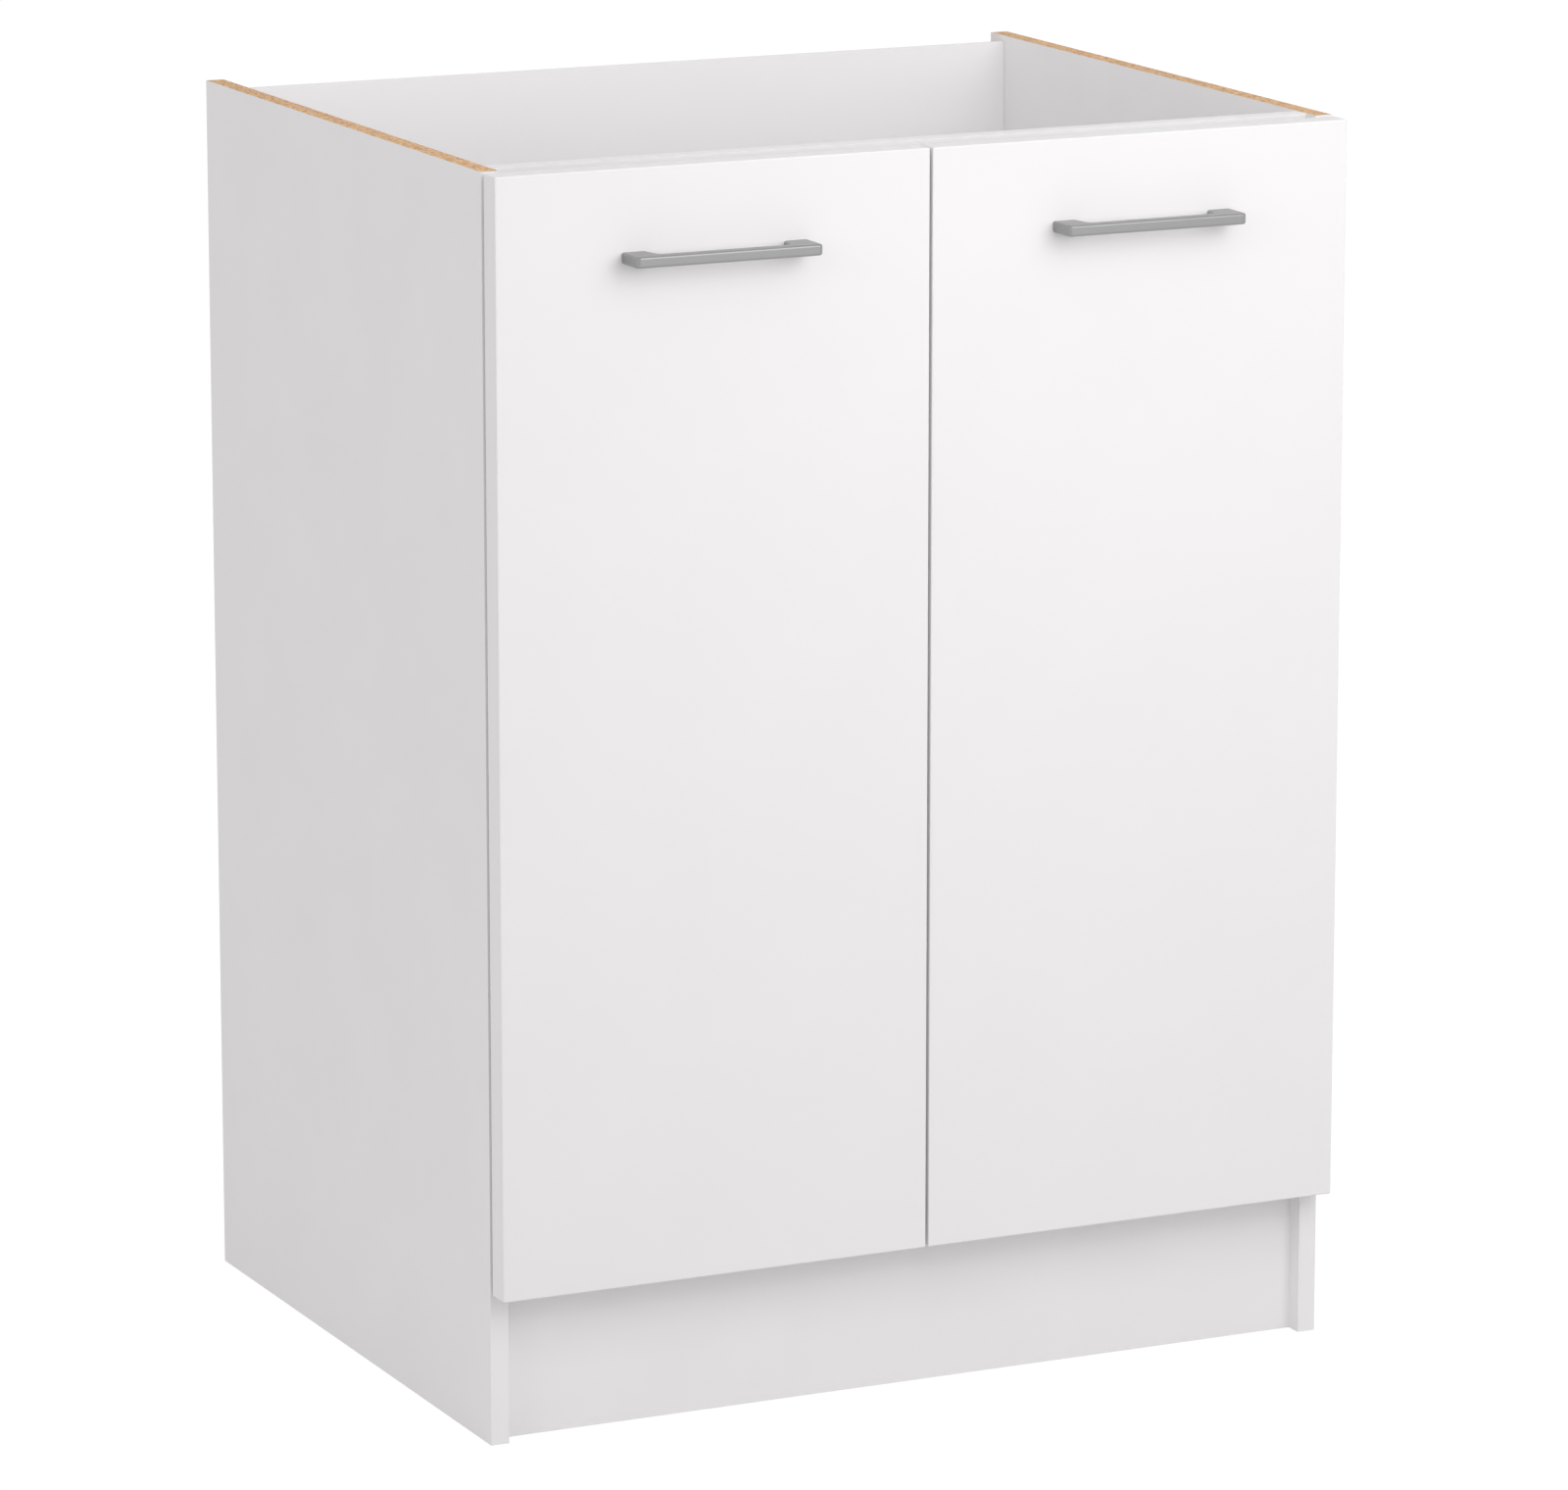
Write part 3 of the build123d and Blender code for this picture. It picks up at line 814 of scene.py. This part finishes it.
@dataclass
class Bench:
    """The CAD nodes and the materials that the sub-assemblies share."""

    nodes: dict[str, bpy.types.Object]
    mixed: dict[str, bpy.types.Material] = field(default_factory=dict)
    # Points this near are one, and faces and edges are flat or sharp from these angles in degrees
    weld: float = 0.005
    flat: float = 1.0
    sharp: float = 35.0
    round_steps: int = 2

    def material(self, finish: Finish) -> bpy.types.Material:
        """The material of a finish, made once.

        Args:
            finish: what the surface is.

        Returns:
            Its material.
        """
        if finish.name not in self.mixed:
            self.mixed[finish.name] = finish.material()
        return self.mixed[finish.name]

    def dress(self, node: str, finish: Finish) -> None:
        """Gives a CAD node that keeps its shape a finish.

        Args:
            node: the node's name.
            finish: what its surface is.
        """
        mesh = self.nodes[node].data
        mesh.materials.clear()
        mesh.materials.append(self.material(finish))
        LOG.info("%s: %s", node, finish.name)

    def copy(self, node: str) -> bmesh.types.BMesh:
        """Copies a node with its triangles joined into whole faces.

        Args:
            node: the node's name.

        Returns:
            A mesh in the node's place.
        """
        bm = bmesh.new()
        bm.from_mesh(self.nodes[node].data)
        bmesh.ops.remove_doubles(bm, verts=bm.verts, dist=self.weld * MM)
        bmesh.ops.dissolve_limit(bm, angle_limit=math.radians(self.flat), verts=bm.verts, edges=bm.edges)
        return bm

    def solids(self, node: str) -> list[Corners]:
        """Finds the separate solids of a node.

        Args:
            node: the node's name.

        Returns:
            The lowest and the highest corner of each solid, in metres.
        """
        bm = self.copy(node)
        seen = set()
        found = []
        for start in bm.verts:
            if start in seen:
                continue
            seen.add(start)
            reached = [start]
            for vert in reached:
                fresh = [edge.other_vert(vert) for edge in vert.link_edges]
                fresh = [other for other in fresh if other not in seen]
                seen.update(fresh)
                reached += fresh
            spans = [[vert.co[axis] for vert in reached] for axis in range(3)]
            found.append((Vector([min(span) for span in spans]), Vector([max(span) for span in spans])))
        bm.free()
        return found

    def stand_in(self, node: str, bm: bmesh.types.BMesh, finish: Finish) -> None:
        """Makes the piece that shows instead of a CAD node.

        Args:
            node: the node's name.
            bm: the piece's mesh, which is used up.
            finish: what its surface is.
        """
        mesh = bpy.data.meshes.new(f"finished_{node}")
        bm.to_mesh(mesh)
        bm.free()
        mesh.shade_smooth()
        mesh.set_sharp_from_angle(angle=math.radians(self.sharp))
        mesh.materials.append(self.material(finish))
        piece = bpy.data.objects.new(mesh.name, mesh)
        bpy.context.scene.collection.objects.link(piece)
        even = piece.modifiers.new("even_shading", "WEIGHTED_NORMAL")
        even.keep_sharp = True
        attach(piece, self.nodes[node]["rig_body"])
        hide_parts(node)
        LOG.info("%s: %s, %d faces", piece.name, finish.name, len(mesh.polygons))

    def soften(self, node: str, finish: Finish, width: float) -> None:
        """Shows a node with its outer edges rounded.

        Args:
            node: the node's name.
            finish: what its surface is.
            width: how much of each face the rounding takes, in millimetres.
        """
        bm = self.copy(node)
        corners = [
            edge
            for edge in bm.edges
            if edge.is_manifold and edge.is_convex and edge.calc_face_angle() > math.radians(self.sharp)
        ]
        bmesh.ops.bevel(
            bm,
            geom=corners,
            offset=width * MM,
            offset_type="OFFSET",
            affect="EDGES",
            segments=self.round_steps,
            profile=0.5,
            material=-1,
            clamp_overlap=True,
        )
        self.stand_in(node, bm, finish)

    def repeat(self, node: str, bm: bmesh.types.BMesh, seats: list[Matrix], finish: Finish) -> None:
        """Shows copies of one model instead of a node's solids.

        Args:
            node: the node's name.
            bm: the model, along the Z axis, which is used up.
            seats: where each copy goes.
            finish: what its surface is.
        """
        pattern = bpy.data.meshes.new("pattern")
        bm.to_mesh(pattern)
        bm.free()
        copies = bmesh.new()
        for seat in seats:
            count = len(copies.verts)
            copies.from_mesh(pattern)
            copies.verts.ensure_lookup_table()
            bmesh.ops.transform(copies, matrix=seat, verts=copies.verts[count:])
        bpy.data.meshes.remove(pattern)
        self.stand_in(node, copies, finish)

    def screws(self, node: str, screw: CrossScrew, heads: Vector) -> None:
        """Shows modelled screws instead of a node's plain ones.

        Args:
            node: the node's name.
            screw: the kind of screw.
            heads: the way that the heads point.
        """
        solids = self.solids(node)
        low, high = solids[0]
        size = (high - low) / MM
        length = abs(size.dot(heads))
        radius = (sum(size) - length) / 4
        seats = []
        for low, high in solids:
            middle, half = (low + high) / 2, (high - low) / 2
            seat = middle + heads * (abs(half.dot(heads)) - screw.head_height * MM)
            seats.append(facing(seat, heads))
        self.repeat(node, screw.model(radius, length - screw.head_height), seats, ZINC_PLATE)


@dataclass
class Carcass:
    """The boards that make the box, and what joins them."""

    bench: Bench
    board_round: float = 0.4
    cam_round: float = 0.35
    pin_round: float = 0.5
    bolt_corners: int = 24
    bolt_tip_share: float = 0.7
    bolt_thread_start: float = 0.8
    bolt_thread: float = 8.5
    bolt_thread_radius: float = 2.45
    bolt_thread_depth: float = 0.45
    bolt_pitch: float = 1.9
    bolt_shank_radius: float = 2.0
    # The neck that the cam grips: its radius, its length and the slope that leads down to it
    bolt_neck_radius: float = 1.5
    bolt_neck: float = 3.0
    bolt_neck_slope: float = 0.6
    bolt_head_radius: float = 2.8
    bolt_head: float = 4.0
    bolt_head_slope: float = 0.6
    bolt_head_chamfer: float = 1.2
    bolt_head_end_share: float = 0.72
    dowel_flutes: int = 12
    dowel_flute_share: float = 0.9
    dowel_chamfer: float = 1.2
    dowel_end_share: float = 0.75
    back_screw: CrossScrew = CrossScrew(head_height=1.4, shank_radius=1.5, pitch=1.3, point=3.0)

    def board_finish(self, node: str, faced: Axis, banded: Axis) -> CutBoard:
        """The finish of a melamine board.

        Args:
            node: the board's node.
            faced: the axis across its faces.
            banded: the axis whose two end edges are banded.

        Returns:
            A finish that knows the board's faces.
        """
        low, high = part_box(node)
        name = f"melamine board of {node}"
        return CutBoard(name, Slot.BOARD, BOARD_WHITE, BOARD_SATIN, low, high, faced, (banded,))

    def build_boards(self) -> None:
        """Dresses the boards and the back panel."""
        for side in SIDES:
            node = f"{side}_side_panel"
            self.bench.dress(node, self.board_finish(node, Axis.X, Axis.Y))
        for node, faced, banded in (
            ("bottom_panel", Axis.Z, Axis.Y),
            ("shelf", Axis.Z, Axis.Y),
            ("plinth", Axis.Y, Axis.Z),
            ("front_rail", Axis.Y, Axis.Z),
        ):
            self.bench.soften(node, self.board_finish(node, faced, banded), self.board_round)
        raw_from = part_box("back_panel")[1].y - LACQUER_THICK * MM
        self.bench.dress(
            "back_panel",
            LacqueredHardboard(
                "white lacquer on hardboard", Slot.BACK, LACQUER_WHITE, LACQUER_SATIN, raw_from
            ),
        )

    def build_bolts(self) -> None:
        """Turns the bolts of the cam locks."""
        solids = self.bench.solids("cam_bolts")
        length = (solids[0][1] - solids[0][0]).x / MM
        head = length - self.bolt_head
        neck = head - self.bolt_neck
        ridges = thread(
            self.bolt_thread_radius,
            self.bolt_thread_depth,
            self.bolt_thread_start,
            self.bolt_thread,
            self.bolt_pitch,
        )
        rest = [
            (self.bolt_shank_radius, self.bolt_thread),
            (self.bolt_shank_radius, neck),
            (self.bolt_neck_radius, neck + self.bolt_neck_slope),
            (self.bolt_neck_radius, head),
            (self.bolt_head_radius, head + self.bolt_head_slope),
            (self.bolt_head_radius, length - self.bolt_head_chamfer),
            (self.bolt_head_end_share * self.bolt_head_radius, length),
        ]
        tip = (self.bolt_tip_share * self.bolt_thread_radius, 0.0)
        bm = turned(tip, ridges + rest, self.bolt_corners)
        self.bench.repeat("cam_bolts", bm, self.inward_seats(solids), ZINC_PLATE)

    def build_dowels(self) -> None:
        """Turns the fluted dowels."""
        solids = self.bench.solids("wooden_dowels")
        size = (solids[0][1] - solids[0][0]) / MM
        radius, chamfer = size.y / 2, self.dowel_chamfer
        end = self.dowel_end_share * radius
        rings = [(radius, chamfer), (radius, size.x - chamfer), (end, size.x)]
        corners = 2 * self.dowel_flutes
        bm = turned((end, 0.0), rings, corners)
        for vert in bm.verts:
            corner = math.atan2(vert.co.y, vert.co.x) / math.tau * corners
            if round(corner) % 2:
                vert.co.x *= self.dowel_flute_share
                vert.co.y *= self.dowel_flute_share
        self.bench.repeat("wooden_dowels", bm, self.inward_seats(solids), BEECH)

    def inward_seats(self, solids: list[Corners]) -> list[Matrix]:
        """Seats of rods that run from the side panels into the box.

        Args:
            solids: the rods' lowest and highest corners.

        Returns:
            A seat at each rod's outer end, turned inwards.
        """
        seats = []
        for low, high in solids:
            middle = (low + high) / 2
            inward = Vector((-math.copysign(1, middle.x), 0, 0))
            seats.append(facing(middle - inward * (high - low).x / 2, inward))
        return seats

    def build(self) -> None:
        """Dresses the boards and makes their fittings."""
        self.build_boards()
        self.build_bolts()
        self.build_dowels()
        self.bench.soften("cam_locks", CAST_ZINC, self.cam_round)
        self.bench.soften("shelf_pins", NICKEL, self.pin_round)
        self.bench.screws("back_panel_screws", self.back_screw, Vector((0, 1, 0)))


@dataclass
class DoorLeaf:
    """A door with its handle, bumpers and the hinge cups let into its back."""

    bench: Bench
    side: str
    cup_round: float = 0.2
    pin_round: float = 0.3
    bumper_corners: int = 32
    bumper_steps: int = 7
    bumper_foot: float = 0.25
    handle_screw: CrossScrew = CrossScrew(head_height=2.2, shank_radius=2.0, pitch=1.0)
    cup_screw: CrossScrew = CrossScrew(head_height=1.4, shank_radius=1.6, pitch=1.3, point=3.0)

    def build_bumpers(self) -> None:
        """Makes the clear drops that soften the door's closing."""
        node = f"{self.side}_door_bumpers"
        solids = self.bench.solids(node)
        size = (solids[0][1] - solids[0][0]) / MM
        radius, foot = size.x / 2, self.bumper_foot
        rings = [(radius, foot)]
        for i in range(1, self.bumper_steps):
            rise = math.radians(90 * i / self.bumper_steps)
            rings.append((radius * math.cos(rise), foot + (size.y - foot) * math.sin(rise)))
        seats = [
            facing(Vector(((low.x + high.x) / 2, low.y, (low.z + high.z) / 2)), Vector((0, 1, 0)))
            for low, high in solids
        ]
        drop = turned((radius, 0.0), rings, self.bumper_corners)
        self.bench.repeat(node, drop, seats, CLEAR_DROP)

    def build(self) -> None:
        """Dresses the door and makes its fittings."""
        side, bench = self.side, self.bench
        low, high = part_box(f"{side}_door")
        bench.dress(
            f"{side}_door",
            CutBoard(
                f"foiled board of {side}_door",
                Slot.DOOR,
                DOOR_WHITE,
                DOOR_SATIN,
                low,
                high,
                Axis.Y,
                (Axis.X, Axis.Z),
                pebble_height=DOOR_PEBBLE_HEIGHT,
            ),
        )
        bench.dress(f"{side}_handle", HANDLE_SATIN)
        bench.screws(f"{side}_handle_screws", self.handle_screw, Vector((0, 1, 0)))
        bench.screws(f"{side}_hinge_cup_screws", self.cup_screw, Vector((0, 1, 0)))
        bench.soften(f"{side}_hinge_pins", NICKEL, self.pin_round)
        for level in LEVELS:
            bench.soften(f"{side}_{level}_hinge_cup", NICKEL, self.cup_round)
        self.build_bumpers()


@dataclass
class HingeMounts:
    """The hinge arms of one door and the plates that carry them on the side panel."""

    bench: Bench
    side: str
    arm_round: float = 0.3
    plate_round: float = 0.4
    plate_screw: CrossScrew = CrossScrew(head_height=2.2, shank_radius=2.45, pitch=1.6)
    arm_screw: CrossScrew = CrossScrew(head_height=2.2, shank_radius=2.0, pitch=0.9)

    def build(self) -> None:
        """Makes the arms, plates and screws."""
        side, bench = self.side, self.bench
        inward = Vector((1 if side == "left" else -1, 0, 0))
        for level in LEVELS:
            bench.soften(f"{side}_{level}_hinge_arm", NICKEL, self.arm_round)
            bench.soften(f"{side}_{level}_mounting_plate", CAST_ZINC, self.plate_round)
        bench.screws(f"{side}_mounting_plate_screws", self.plate_screw, inward)
        bench.screws(f"{side}_hinge_arm_screws", self.arm_screw, inward)


def main() -> None:
    """Dresses the cabinet and sets up the studio and the camera."""
    logging.basicConfig(level=logging.INFO, format="%(message)s")
    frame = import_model()
    bench = Bench(frame["nodes"])
    Carcass(bench).build()
    for side in SIDES:
        DoorLeaf(bench, side).build()
        HingeMounts(bench, side).build()
    Studio().build()
    PhotoCamera().build()


if __name__ == "__main__":
    main()
